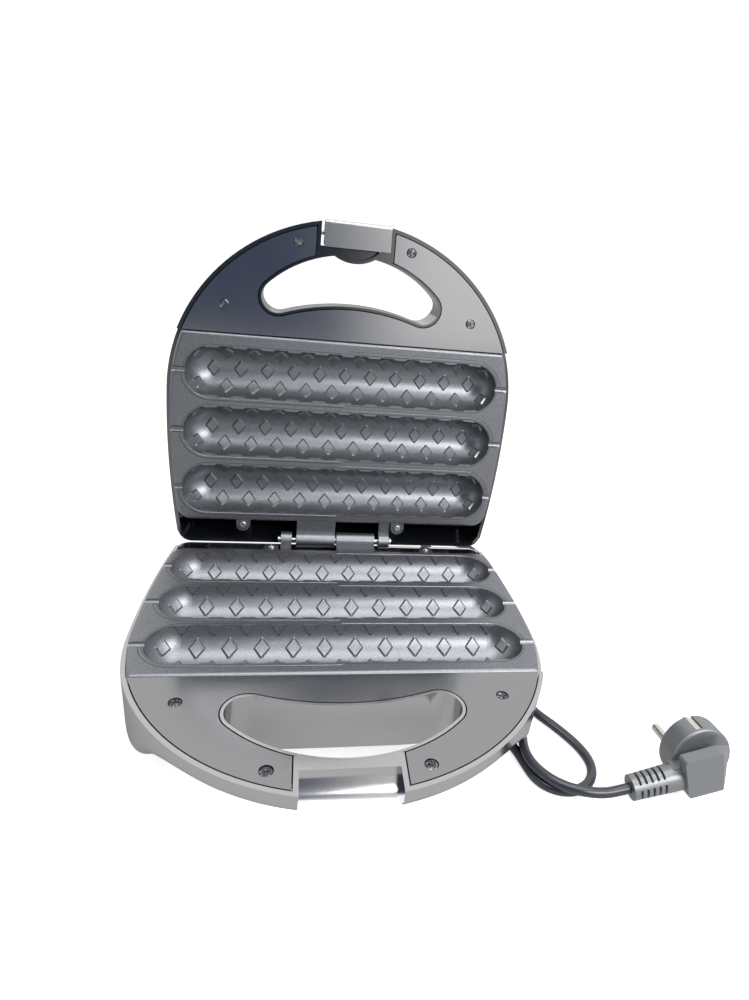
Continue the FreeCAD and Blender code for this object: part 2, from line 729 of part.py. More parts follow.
def heating_element():
    """Sheathed tube bent round the middle trough, with a terminal pin at each end."""
    z = element_line()
    ys = groove_ys()
    mid = (ys[0] + ys[-1]) / 2
    half = GROOVE_PITCH / 2
    bend_x = GROOVE_HALF_LENGTH - GROOVE_RADIUS
    legs = []
    for y in (mid - half, mid + half):
        legs.append(rod(ELEMENT_RADIUS, ELEMENT_END_X, bend_x, y, z))
        legs.append(rod(TERMINAL_RADIUS, ELEMENT_END_X - TERMINAL_LENGTH, ELEMENT_END_X + 1, y, z))
    circle = Part.Wire(Part.Circle(Vector(bend_x, mid - half, z), X_AXIS, ELEMENT_RADIUS).toShape())
    bend = Part.Face(circle).revolve(Vector(bend_x, mid, z), Z_AXIS, 180)
    return joined(legs + [bend])


def reflector():
    """Pressed tray under the plate that turns the heat back up."""
    ys = groove_ys()
    front = ys[-1] - REFLECTOR_MARGIN
    rear = ys[0] + REFLECTOR_MARGIN
    z0 = -STUB_DEPTH - REFLECTOR_THICKNESS
    z1 = -STUB_DEPTH + REFLECTOR_FLANGE
    half = REFLECTOR_HALF_LENGTH
    t = REFLECTOR_THICKNESS
    tray = box(-half, half, front, rear, z0, -STUB_DEPTH)
    ends = [box(-half, -half + t, front, rear, z0, z1), box(half - t, half, front, rear, z0, z1)]
    tray = joined([tray] + ends)
    cutters = []
    for x in (-STUB_X, STUB_X):
        for y in (ys[0], ys[-1]):
            cutters.append(post(REFLECTOR_SCREW_RADIUS + 0.3, x, y, -FAR, FAR))
    window = THERMOSTAT_RADIUS + THERMOSTAT_HOLE_CLEARANCE
    cutters.append(post(window, THERMOSTAT_X, (ys[0] + ys[-1]) / 2, -FAR, FAR))
    return tray.cut(cutters)


def reflector_screws():
    ys = groove_ys()
    seat = -STUB_DEPTH - REFLECTOR_THICKNESS
    sizes = (REFLECTOR_SCREW_RADIUS, REFLECTOR_SCREW_LENGTH, REFLECTOR_HEAD_RADIUS, REFLECTOR_HEAD_HEIGHT)
    return [screw(x, y, seat, *sizes, up=-1) for x in (-STUB_X, STUB_X) for y in (ys[0], ys[-1])]


def thermostat():
    """Bimetal disc switch that presses on the middle trough, with two tabs."""
    ys = groove_ys()
    mid = (ys[0] + ys[-1]) / 2
    top = -GROOVE_RADIUS - GROOVE_WALL - 0.05
    cap = post(THERMOSTAT_RADIUS, THERMOSTAT_X, mid, top - 4, top)
    body = post(THERMOSTAT_RADIUS - 0.8, THERMOSTAT_X, mid, top - THERMOSTAT_HEIGHT, top - 3)
    tabs = []
    low = top - THERMOSTAT_HEIGHT
    half = TAB_THICKNESS / 2
    deep = TAB_WIDTH / 2
    for x in (THERMOSTAT_X - TAB_OFFSET, THERMOSTAT_X + TAB_OFFSET):
        tabs.append(box(x - half, x + half, mid - deep, mid + deep, low - TAB_LENGTH, low + 1))
    return joined([cap, body] + tabs)


def thermal_fuse():
    """Sleeved one-shot fuse lying on the reflector's underside."""
    ys = groove_ys()
    z = -STUB_DEPTH - REFLECTOR_THICKNESS - FUSE_RADIUS - 0.1
    start = THERMOSTAT_X - FUSE_SETBACK
    return rod(FUSE_RADIUS, start, start + FUSE_LENGTH, (ys[0] + ys[1]) / 2, z)


def hinge_pin():
    """Pin through all four knuckles, upset at both ends."""
    x0 = SMALL_KNUCKLE[0] - PIN_OVERHANG
    x1 = -SMALL_KNUCKLE[0] + PIN_OVERHANG
    shank = rod(PIN_RADIUS, x0, x1, 0, 0)
    heads = [
        rod(PIN_HEAD_RADIUS, x0 - PIN_HEAD_LENGTH, x0, 0, 0),
        rod(PIN_HEAD_RADIUS, x1, x1 + PIN_HEAD_LENGTH, 0, 0),
    ]
    return joined([shank] + heads)


def latch():
    """Hook clip: half drum round the pin, front skin, and a lip that turns in under the handle."""
    y = LATCH_PIVOT_Y
    z = -LATCH_PIVOT_DEPTH
    r = LATCH_DRUM_RADIUS
    w = LATCH_HALF_WIDTH
    lip_top = BASE_HANDLE_DEPTH + LATCH_LIP_GAP
    lip_bottom = lip_top + LATCH_LIP_THICKNESS
    front = y - r
    drum = rod(r, -w, w, y, z).cut(rod(r - LATCH_SKIN, -w, w, y, z))
    drum = drum.cut(box(-w - 1, w + 1, y - r - 1, y + r + 1, z, FAR))
    skin = box(-w, w, front, front + LATCH_SKIN, z, lip_bottom)
    lip = box(-w, w, front, LATCH_LIP_REAR_Y, lip_top, lip_bottom)
    cheeks = []
    for x0 in (-w, w - LATCH_CHEEK):
        cheeks.append(rod(r, x0, x0 + LATCH_CHEEK, y, z))
        cheeks.append(box(x0, x0 + LATCH_CHEEK, front, front + LATCH_SKIN + LATCH_WEB, z, lip_bottom))
    body = joined([drum, skin, lip] + cheeks)
    corner = []
    for e in body.Edges:
        b = e.BoundBox
        if abs(b.YMin - front) < 0.01 and abs(b.ZMin - lip_bottom) < 0.01 and b.XLength > w:
            corner.append(e)
    body = body.makeFillet(2.0, corner)
    return body.cut(rod(LATCH_PIN_RADIUS + RUNNING_CLEARANCE, -w - 1, w + 1, y, z))


def latch_pin():
    half = LATCH_PIN_HALF_LENGTH
    return rod(LATCH_PIN_RADIUS, -half, half, LATCH_PIVOT_Y, -LATCH_PIVOT_DEPTH)


def feet_places():
    return [(side * x, y) for x, y in (FOOT_FRONT, FOOT_REAR) for side in (-1, 1)]


def foot(x, y):
    """Rubber button foot, snapped through the floor of the base."""
    floor = -BASE_DEPTH
    inside = floor + WALL
    ground = Vector(x, y, floor - FOOT_HEIGHT)
    pad = Part.makeCone(FOOT_RADIUS - 1.0, FOOT_RADIUS, FOOT_HEIGHT, ground, Z_AXIS)
    stem = post(FOOT_STEM_RADIUS, x, y, floor - 1, inside + FOOT_BUTTON_HEIGHT)
    button = Part.makeCone(
        FOOT_BUTTON_RADIUS, FOOT_STEM_RADIUS + 0.3, FOOT_BUTTON_HEIGHT, Vector(x, y, inside), Z_AXIS
    )
    return joined([pad, stem, button])


def lens(x):
    """Domed indicator lens let into the lid's top."""
    z = -LID_DEPTH
    stem = post(LENS_RADIUS - LENS_CLEARANCE, x, LAMP_Y, z, z + LENS_STEM)
    flange = post(LENS_RADIUS + 1.0, x, LAMP_Y, z - 0.6, z)
    sphere_r = (LENS_RADIUS ** 2 + LENS_RISE ** 2) / (2 * LENS_RISE)
    dome = Part.makeSphere(sphere_r, Vector(x, LAMP_Y, z - 0.6 - LENS_RISE + sphere_r))
    dome = dome.common(post(LENS_RADIUS, x, LAMP_Y, z - 0.6 - LENS_RISE, z))
    bore = post(LAMP_RADIUS + 0.3, x, LAMP_Y, z + 1.5, FAR)
    return joined([stem, flange, dome]).cut(bore)


def lamp(x):
    """Neon lamp held in its lens."""
    z = -LID_DEPTH + 1.8
    bulb = post(LAMP_RADIUS, x, LAMP_Y, z, z + LAMP_LENGTH)
    top = [e for e in bulb.Edges if abs(e.BoundBox.ZMax - z) < 0.01]
    return bulb.makeFillet(LAMP_RADIUS * 0.8, top)


def cord_hole():
    return Part.makeCylinder(RELIEF_NECK_RADIUS, FAR, Vector(CORD_EXIT_X, 0, CORD_EXIT_Z), Y_AXIS)


def wall_y(z):
    """Rear wall's outer face at a height."""
    return REAR_Y + z * DRAFT / BASE_DEPTH


def strain_relief():
    """Tapered, slotted rubber sleeve that guards the cord where it leaves the base."""
    y_wall = wall_y(CORD_EXIT_Z)
    flange_y = y_wall + 0.6
    base = Vector(CORD_EXIT_X, flange_y, CORD_EXIT_Z)
    flange = Part.makeCylinder(RELIEF_FLANGE_RADIUS, RELIEF_FLANGE, base, Y_AXIS)
    cone = Part.makeCone(
        RELIEF_ROOT_RADIUS, RELIEF_TIP_RADIUS, RELIEF_LENGTH, base + Vector(0, RELIEF_FLANGE, 0), Y_AXIS
    )
    neck_start = Vector(CORD_EXIT_X, y_wall - WALL - 2.5, CORD_EXIT_Z)
    neck = Part.makeCylinder(RELIEF_NECK_RADIUS - 0.2, WALL + 4.0, neck_start, Y_AXIS)
    collar = Part.makeCylinder(RELIEF_NECK_RADIUS + 1.5, 1.8, neck_start - Vector(0, 0.4, 0), Y_AXIS)
    body = joined([flange, cone, neck, collar])
    bore = Part.makeCylinder(CORD_RADIUS, FAR, Vector(CORD_EXIT_X, -FAR / 2, CORD_EXIT_Z), Y_AXIS)
    slots = []
    half = RELIEF_SPINE_WIDTH / 2
    for i in range(RELIEF_SLOTS):
        y = flange_y + RELIEF_FLANGE + RELIEF_SLOT_START + i * RELIEF_SLOT_PITCH
        here = Vector(CORD_EXIT_X, y, CORD_EXIT_Z)
        ring = Part.makeCylinder(RELIEF_ROOT_RADIUS + 1, RELIEF_SLOT_WIDTH, here, Y_AXIS)
        core = Part.makeCylinder(CORD_RADIUS + 0.7, RELIEF_SLOT_WIDTH, here, Y_AXIS)
        spine = box(-half, half, 0, RELIEF_SLOT_WIDTH, -RELIEF_ROOT_RADIUS - 2, RELIEF_ROOT_RADIUS + 2)
        spine.translate(here)
        slots.append(ring.cut([core, spine]))
    return body.cut([bore] + slots)


def cord_tail():
    """Short inner end of the cord, from the strain relief to the clamp."""
    end = wall_y(CORD_EXIT_Z) + 0.6 + RELIEF_FLANGE + RELIEF_LENGTH
    start = wall_y(CORD_EXIT_Z) - CORD_TAIL_LENGTH
    base = Vector(CORD_EXIT_X, start, CORD_EXIT_Z)
    return Part.makeCylinder(CORD_RADIUS - 0.02, end - start, base, Y_AXIS)


def cord_clamp():
    """Saddle that grips the cord, screwed to two posts of the base."""
    y = CLAMP_Y
    top = CORD_EXIT_Z + CORD_RADIUS + CLAMP_THICKNESS
    half = CLAMP_LENGTH / 2
    deep = CLAMP_WIDTH / 2
    bar = box(CORD_EXIT_X - half, CORD_EXIT_X + half, y - deep, y + deep, CORD_EXIT_Z, top)
    start = Vector(CORD_EXIT_X, y - deep - 1, CORD_EXIT_Z)
    groove = Part.makeCylinder(CORD_RADIUS + 0.05, CLAMP_WIDTH + 2, start, Y_AXIS)
    holes = [post(CLAMP_SCREW_RADIUS + 0.3, x, y, -FAR, FAR) for x in clamp_xs()]
    return bar.cut([groove] + holes)


def clamp_xs():
    return (CORD_EXIT_X - CLAMP_SCREW_OFFSET, CORD_EXIT_X + CLAMP_SCREW_OFFSET)


def clamp_posts():
    return [post(CLAMP_POST_RADIUS, x, CLAMP_Y, -BASE_DEPTH + 1, CORD_EXIT_Z) for x in clamp_xs()]


def clamp_screws():
    top = CORD_EXIT_Z + CORD_RADIUS + CLAMP_THICKNESS
    sizes = (CLAMP_SCREW_RADIUS, CLAMP_SCREW_LENGTH, CLAMP_HEAD_RADIUS, CLAMP_HEAD_HEIGHT)
    return [screw(x, CLAMP_Y, top, *sizes) for x in clamp_xs()]


def cord_start():
    """Tip of the strain relief, where the free stretch begins."""
    reach = wall_y(CORD_EXIT_Z) + 0.6 + RELIEF_FLANGE + RELIEF_LENGTH
    return Vector(CORD_EXIT_X, reach, CORD_EXIT_Z)


def cord_points():
    """Corner points of the free stretch, from the strain relief to the plug."""
    points = [cord_start()]
    points += [Vector(x, y, height - PART_HEIGHT) for x, y, height in CORD_ROUTE]
    return points + [plug_lead(), plug_tip()]


def rounded_path(points):
    """Straight runs joined by tangent arcs, each as large as its two runs allow."""
    edges = []
    radii = []
    here = points[0]
    for before, corner, after in zip(points, points[1:], points[2:]):
        back = before - corner
        ahead = after - corner
        reach = CORD_ARC_SHARE * min(back.Length, ahead.Length)
        back.normalize()
        ahead.normalize()
        half = back.getAngle(ahead) / 2
        radius = reach * math.tan(half)
        radii.append(radius)
        start = corner + back * reach
        end = corner + ahead * reach
        inward = (back + ahead).normalize()
        middle = corner + inward * (radius / math.sin(half) - radius)
        edges.append(line(here, start))
        edges.append(arc(start, middle, end))
        here = end
    edges.append(line(here, points[-1]))
    return Part.Wire(edges), radii


def power_cord():
    """Free stretch of the cord at its real length."""
    path, radii = rounded_path(cord_points())
    start = path.Edges[0]
    direction = start.tangentAt(start.FirstParameter)
    circle = Part.Circle(start.valueAt(start.FirstParameter), direction, CORD_RADIUS).toShape()
    tube = path.makePipeShell([Part.Wire(circle)], True, False)
    ideal = math.pi * CORD_RADIUS ** 2 * path.Length
    print("cord length", round(path.Length, 1), "least radius", round(min(radii), 1))
    print("cord radii", [round(r, 1) for r in radii])
    print("cord volume against its section times its length", round(tube.Volume / ideal, 4))
    return tube


def plug_placed(shape):
    """Lays a part of the plug down where the plug lies."""
    placed = shape.copy()
    placed.rotate(ORIGIN, X_AXIS, PLUG_ROLL)
    placed.rotate(ORIGIN, Y_AXIS, -PLUG_RISE)
    placed.rotate(ORIGIN, Z_AXIS, PLUG_TURN)
    placed.translate(plug_tip())
    return placed


def plug_tip():
    return Vector(PLUG_TIP[0], PLUG_TIP[1], PLUG_TIP[2] - PART_HEIGHT)


def plug_lead():
    """Point short of the plug where the cord comes into line with it."""
    facing = FreeCAD.Rotation(Z_AXIS, PLUG_TURN).multiply(FreeCAD.Rotation(Y_AXIS, -PLUG_RISE))
    return plug_tip() + facing.multVec(Vector(-PLUG_LEAD, 0, 0))


def plug_drum_height():
    """How far the drum's axis stands off the cord's, so that the drum's edge rests on the surface."""
    rise = math.radians(PLUG_RISE)
    roll = math.radians(PLUG_ROLL)
    drop = PLUG_DRUM_RADIUS * math.hypot(math.sin(rise), math.cos(roll) * math.cos(rise))
    height = 0.05 + drop - PLUG_TIP[2] - PLUG_AXIS_X * math.sin(rise)
    return (height / math.cos(rise) - PLUG_FACE * math.sin(roll)) / math.cos(roll)


def across(radius, x, z, y0, y1):
    """Cylinder along Y."""
    return Part.makeCylinder(radius, y1 - y0, Vector(x, y0, z), Y_AXIS)


def earth_strips(extra):
    """Side contacts of the plug, or, with extra, the channels they lie in."""
    z = plug_drum_height()
    half = EARTH_WIDTH / 2 + extra
    y0 = PLUG_DRUM_REAR + 2
    y1 = PLUG_FACE - EARTH_DEPTH + (2.0 if extra else 0)
    strips = []
    for side in (-1, 1):
        outer = z + side * (PLUG_DRUM_RADIUS + (2.0 if extra else -EARTH_DEPTH))
        inner = z + side * (PLUG_DRUM_RADIUS - EARTH_DEPTH - EARTH_THICKNESS)
        low = min(outer, inner)
        high = max(outer, inner)
        strips.append(box(PLUG_AXIS_X - half, PLUG_AXIS_X + half, y0, y1, low, high))
    return strips


def plug_grip():
    """Flat plate that the fingers pull on, bevelled at its far end."""
    y1 = PLUG_GRIP_BACK + PLUG_GRIP_THICKNESS
    outline = [Vector(PLUG_AXIS_X + x, PLUG_GRIP_BACK, z) for x, z in PLUG_GRIP]
    face = Part.Face(Part.makePolygon(outline + [outline[0]]))
    plate = face.extrude(Vector(0, PLUG_GRIP_THICKNESS, 0))
    corners = [e for e in plate.Edges if e.BoundBox.YLength > PLUG_GRIP_THICKNESS - 0.01]
    plate = plate.makeFillet(PLUG_GRIP_ROUND, corners)
    end = max(v.x for v in outline) + 0.5
    bevel = [
        Vector(end - PLUG_GRIP_BEVEL, PLUG_GRIP_BACK - 1, -FAR),
        Vector(end + PLUG_GRIP_BEVEL, PLUG_GRIP_BACK - 1, -FAR),
        Vector(end + PLUG_GRIP_BEVEL, y1, -FAR),
        Vector(end, y1, -FAR),
    ]
    return plate.cut(prism(Part.makePolygon(bevel + [bevel[0]]), 2 * FAR))


def plug_slots():
    """Slots round the plug's relief, crossed by a spine on each side."""
    slots = []
    reach = PLUG_RELIEF_ROOT + 2
    half = PLUG_SPINE_WIDTH / 2
    for i in range(PLUG_SLOTS):
        x = PLUG_SLOT_START + i * PLUG_SLOT_PITCH
        ring = rod(reach, x, x + PLUG_SLOT_WIDTH, 0, 0)
        core = rod(CORD_RADIUS + 1.2, x - 1, x + PLUG_SLOT_WIDTH + 1, 0, 0)
        spine = box(x - 1, x + PLUG_SLOT_WIDTH + 1, -reach, reach, -half, half)
        spine.rotate(ORIGIN, X_AXIS, -PLUG_SPINE_TURN)
        slots.append(ring.cut([core, spine]))
    return slots


def pin_xs():
    return (PLUG_AXIS_X - PIN_SPACING / 2, PLUG_AXIS_X + PIN_SPACING / 2)


def pin_root(x, y1):
    """Thinner end of a pin that the plug is moulded round."""
    return across(PLUG_ROOT_RADIUS, x, plug_drum_height(), PLUG_FACE - PLUG_ROOT_LENGTH, y1)


def plug_body():
    """Moulded body: slotted relief, flat grip, and a drum with the contact face."""
    relief = Part.makeCone(PLUG_RELIEF_TIP, PLUG_RELIEF_ROOT, PLUG_RELIEF_LENGTH, ORIGIN, X_AXIS)
    neck = rod(PLUG_RELIEF_ROOT, PLUG_RELIEF_LENGTH, PLUG_RELIEF_LENGTH + PLUG_NECK_LENGTH, 0, 0)
    drum = across(PLUG_DRUM_RADIUS, PLUG_AXIS_X, plug_drum_height(), PLUG_DRUM_REAR, PLUG_FACE)
    rim = [e for e in drum.Edges if e.BoundBox.YLength < 0.01 and e.BoundBox.XLength > 1]
    drum = drum.makeFillet(PLUG_DRUM_ROUND, rim)
    y0 = PLUG_GRIP_BACK + PLUG_GRIP_THICKNESS - 1
    half = PLUG_WEB_HALF_HEIGHT
    web = box(PLUG_WEB_REAR_X, PLUG_WEB_FRONT_X, y0, PLUG_DRUM_REAR + 1, -half, half)
    body = joined([relief, neck, drum, plug_grip(), web])
    holes = [pin_root(x, PLUG_FACE + 1) for x in pin_xs()]
    return plug_placed(body.cut(plug_slots() + holes + earth_strips(0.05)))


def plug_pins():
    """Pins that stand on the contact face, each with its thinner root in the moulding."""
    pins = []
    for x in pin_xs():
        pin = across(PLUG_PIN_RADIUS, x, plug_drum_height(), PLUG_FACE, PLUG_FACE + PLUG_PIN_LENGTH)
        tip = [e for e in pin.Edges if abs(e.BoundBox.YMin - PLUG_FACE - PLUG_PIN_LENGTH) < 0.01]
        pin = pin.makeFillet(PLUG_PIN_ROUND, tip)
        pins.append(plug_placed(joined([pin, pin_root(x, PLUG_FACE + 1)])))
    return pins


def earth_contacts():
    return [plug_placed(strip) for strip in earth_strips(0)]


def lower_shell():
    body = shell(BASE_DEPTH, BASE_HANDLE_DEPTH, EARS_X, False)
    body = joined([body] + clamp_posts())
    cutters = [cord_hole()]
    pilot_end = CORD_EXIT_Z + CORD_RADIUS + CLAMP_THICKNESS - CLAMP_SCREW_LENGTH
    for x in clamp_xs():
        cutters.append(post(CLAMP_SCREW_RADIUS, x, CLAMP_Y, pilot_end, CORD_EXIT_Z + 1))
    for x, fy in feet_places():
        cutters.append(post(FOOT_STEM_RADIUS + FOOT_STEM_CLEARANCE, x, fy, -FAR, -BASE_DEPTH + WALL + 1))
    return body.cut(cutters)


def upper_shell():
    body = shell(LID_DEPTH, LID_HANDLE_DEPTH, EARS_X, True)
    holes = [post(LENS_RADIUS, x, LAMP_Y, -FAR, -LID_DEPTH + WALL + 1) for x in (-LAMP_X, LAMP_X)]
    return body.cut(holes)


def upper_plate():
    """The same casting, reamed for the pin to run in."""
    reamer = rod(PIN_RADIUS + RUNNING_CLEARANCE, SMALL_KNUCKLE[0] - 1, WIDE_KNUCKLE[1] + 1, 0, 0)
    return plate().cut(reamer)


def closed_lid(shape):
    """Turns a part drawn in half coordinates over, onto the base."""
    turned = shape.copy()
    turned.rotate(ORIGIN, Y_AXIS, 180)
    return turned


def opened(shape):
    turned = shape.copy()
    turned.rotate(ORIGIN, X_AXIS, -OPEN_ANGLE)
    return turned


def group(shapes):
    return Part.makeCompound(shapes) if len(shapes) > 1 else shapes[0]


def base_parts():
    return {
        "lower_shell": lower_shell(),
        "lower_handle_cover": handle_cover(False),
        "lower_handle_screws": group(cover_screws()),
        "lower_plate": plate(),
        "lower_plate_screws": group(ear_screws()),
        "lower_heating_element": heating_element(),
        "lower_reflector": reflector(),
        "lower_reflector_screws": group(reflector_screws()),
        "thermostat": thermostat(),
        "thermal_fuse": thermal_fuse(),
        "hinge_pin": hinge_pin(),
        "feet": group([foot(x, y) for x, y in feet_places()]),
        "cord_strain_relief": strain_relief(),
        "cord_inner_end": cord_tail(),
        "cord_clamp": cord_clamp(),
        "cord_clamp_screws": group(clamp_screws()),
        "power_cord": power_cord(),
        "plug_body": plug_body(),
        "plug_pins": group(plug_pins()),
        "plug_earth_contacts": group(earth_contacts()),
    }


def lid_parts():
    return {
        "upper_shell": upper_shell(),
        "upper_handle_cover": handle_cover(True),
        "upper_handle_screws": group(cover_screws()),
        "upper_plate": upper_plate(),
        "upper_plate_screws": group(ear_screws()),
        "upper_heating_element": heating_element(),
        "upper_reflector": reflector(),
        "upper_reflector_screws": group(reflector_screws()),
        "latch_pin": latch_pin(),
        "power_lens": lens(-LAMP_X),
        "ready_lens": lens(LAMP_X),
        "indicator_lamps": group([lamp(-LAMP_X), lamp(LAMP_X)]),
        "latch": latch(),
    }


def build():
    parts = dict(base_parts())
    for name, shape in lid_parts().items():
        parts[name] = opened(closed_lid(shape))
    return parts


def main():
    parts = build()
    on_cord = ("power_cord", "plug_body", "plug_pins", "plug_earth_contacts")
    whole = Part.makeCompound([shape for name, shape in parts.items() if name not in on_cord])
    bounds = whole.optimalBoundingBox(False, False)
    shift = Vector(0, -(bounds.YMin + bounds.YMax) / 2, PART_HEIGHT)
    print("hinge axis at y =", round(shift.y, 3), "z =", shift.z)
    print("box", [round(v, 2) for v in (bounds.XLength, bounds.YLength, bounds.ZLength)])
    os.makedirs("parts", exist_ok=True)
    for name, shape in parts.items():
        placed = shape.copy()
        placed.translate(shift)
        solids = len(placed.Solids)
        print(name, "solids", solids, "valid", placed.isValid(), "volume", round(placed.Volume, 1))
        placed.exportStep("parts/" + name + ".step")


main()
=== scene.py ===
"""Looks of the hot dog toaster: its finishes, the cord's run, the baking pattern and the studio.

Everything is in metres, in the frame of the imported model: the toaster stands open on Z = 0, its handles
towards -Y and its hinge along X. Every shape added here is a surface worked out as whole numpy arrays.
"""
import bpy
import json
import math
import numpy as np
from mathutils import Matrix, Vector


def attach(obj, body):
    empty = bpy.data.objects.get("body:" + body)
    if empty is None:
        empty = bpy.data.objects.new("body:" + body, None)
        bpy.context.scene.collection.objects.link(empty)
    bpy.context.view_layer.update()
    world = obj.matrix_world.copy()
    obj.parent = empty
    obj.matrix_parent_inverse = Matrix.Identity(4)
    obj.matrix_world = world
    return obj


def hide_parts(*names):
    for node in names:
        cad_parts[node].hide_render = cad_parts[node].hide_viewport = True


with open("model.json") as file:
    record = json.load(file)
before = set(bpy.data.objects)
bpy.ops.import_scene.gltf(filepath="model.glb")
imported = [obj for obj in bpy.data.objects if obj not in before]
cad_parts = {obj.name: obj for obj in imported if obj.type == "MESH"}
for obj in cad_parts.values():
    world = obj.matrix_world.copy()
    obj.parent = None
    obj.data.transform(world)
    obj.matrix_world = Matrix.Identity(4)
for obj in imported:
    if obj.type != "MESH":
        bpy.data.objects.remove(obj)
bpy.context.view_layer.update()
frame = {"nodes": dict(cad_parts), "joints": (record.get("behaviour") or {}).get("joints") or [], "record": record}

# The hinge axis, from the joint, and how far the lid stands open
HINGE = next(j["pos_m"] for j in frame["joints"] if j["name"] == "lid_hinge")
HINGE_Y = HINGE[1]
HINGE_Z = HINGE[2]
OPEN_ANGLE = math.radians(96.4)

# Surroundings: plain light, the colour of the dark part of the room, and for two axes of the view
# direction the values between which white turns to it
WORLD_LIGHT = 0.35
ROOM_COLOUR = (0.05, 0.07, 0.12)
DARK_ROOM = (("X", 0.17, 0.02), ("Y", -0.38, -0.56))
FLOOR_REACH = 12.0

# Cord, in millimetres: x, y from the hinge axis, height above the surface
CORD_DIAMETER = 0.0053
CORD_FLOOR = 2.7
CORD_OVER = 8.2
CORD_ROUTE = (
    (75.0, 36.8, 21.0),
    (75.0, 50.0, 21.0),
    (80.0, 64.0, 14.0),
    (92.0, 74.5, 7.0),
    (107.0, 78.0, 3.2),
    (120.0, 71.5, CORD_FLOOR),
    (127.5, 56.0, CORD_FLOOR),
    (129.0, 35.0, CORD_FLOOR),
    (127.5, 5.0, CORD_FLOOR),
    (125.5, -27.0, CORD_FLOOR),
    (121.5, -60.0, CORD_FLOOR),
    (116.5, -88.0, CORD_FLOOR),
    (114.2, -104.0, CORD_FLOOR),
    (114.6, -116.6, CORD_FLOOR),
    (118.6, -127.6, CORD_FLOOR),
    (125.2, -136.6, CORD_FLOOR),
    (131.0, -145.6, CORD_FLOOR),
    (136.0, -155.2, CORD_FLOOR),
    (138.5, -164.8, CORD_FLOOR),
    (137.5, -173.3, CORD_FLOOR),
    (132.8, -180.5, CORD_FLOOR),
    (125.5, -184.9, CORD_FLOOR),
    (116.9, -185.6, CORD_FLOOR),
    (108.9, -182.3, CORD_FLOOR),
    (103.2, -175.9, CORD_FLOOR),
    (100.6, -165.9, CORD_FLOOR),
    (98.3, -155.2, CORD_FLOOR),
    (94.2, -147.2, CORD_FLOOR),
    (87.0, -141.6, CORD_FLOOR),
    (77.7, -139.1, CORD_FLOOR),
    (67.2, -134.6, CORD_FLOOR),
    (61.6, -128.0, CORD_FLOOR),
    (59.5, -119.7, CORD_FLOOR),
    (61.3, -111.2, CORD_FLOOR),
    (66.7, -104.5, CORD_FLOOR),
    (74.5, -100.8, CORD_FLOOR),
    (83.1, -101.0, CORD_FLOOR),
    (90.8, -105.0, CORD_FLOOR),
    (99.7, -114.9, CORD_FLOOR),
    (103.6, -126.6, CORD_FLOOR),
    (105.4, -137.9, CORD_FLOOR),
    (104.6, -148.2, 4.1),
    (101.4, -157.0, 7.9),
    (100.9, -166.2, CORD_OVER),
    (103.7, -174.7, CORD_OVER),
    (109.4, -182.4, CORD_OVER),
    (117.3, -188.3, CORD_OVER),
    (126.6, -191.4, CORD_OVER),
    (134.9, -192.1, 7.7),
    (141.7, -191.6, 7.8),
    (150.1, -191.0, 9.3),
)

# Baking pattern in the grooves, in millimetres
GROOVE_YS = (-36.4, -76.7, -117.0)
GROOVE_RADIUS = 17.0
GROOVE_STRAIGHT = 89.0
PAD_PITCH = 17.8
PAD_HALF_WIDTH = 5.2
PAD_HALF_ARC = 7.2
PAD_RISE = 1.1
PAD_ROW = 12.8
PAD_SUNK = -0.3
PAD_BEVEL = 0.14
END_PAD_U = 5.55 * PAD_PITCH
END_PAD_HALF_WIDTH = 5.2
END_PAD_HALF_ARC = 6.8
HALF_PAD_ACROSS = (-1.0, -0.72, 0.0, 0.72, 1.0)
HALF_PAD_DOWN = (0.0, 0.001, 0.4, 0.76, 1.0)
PATCH_SIDE = 5
RIM_MARGIN = 0.25

# Bead beside the grooves and the painted shade lines along it, in millimetres
BEAD_RADIUS = 18.5
BEAD_START = 0.6
CHANNEL_HALF_WIDTH = 2.7
PLATE_TOP = -0.15
BEAD_ACROSS = (-0.85, -0.6, 0.6, 0.85)
BEAD_UP = (-0.05, 0.24, 0.24, -0.05)
LINE_UP = 0.03
# Painted shade: dark strips for the shadow beside the bead and at the recess edge. name, which side of the grooves
# (1 with the bead, -1 opposite), offset from the bead's middle, half width
PAINTED_SHADE_LINES = (
    ("bead_inner_line", 1, -1.0, 0.12),
    ("bead_outer_line", 1, 1.05, 0.2),
    ("recess_line", -1, 0.6, 0.2),
)


class Wire:
    """An output socket of a node, so that sums on it read as sums."""

    def __init__(self, nodes, socket):
        self.nodes = nodes
        self.socket = socket

    def math(self, operation, other):
        return self.nodes.node("ShaderNodeMath", {"operation": operation}, self, other)

    def __add__(self, other):
        return self.math("ADD", other)

    def __sub__(self, other):
        return self.math("SUBTRACT", other)

    def __rsub__(self, other):
        return self.nodes.node("ShaderNodeMath", {"operation": "SUBTRACT"}, other, self)

    def __mul__(self, other):
        return self.math("MULTIPLY", other)

    def __gt__(self, other):
        return self.math("GREATER_THAN", other)

    __radd__ = __add__
    __rmul__ = __mul__


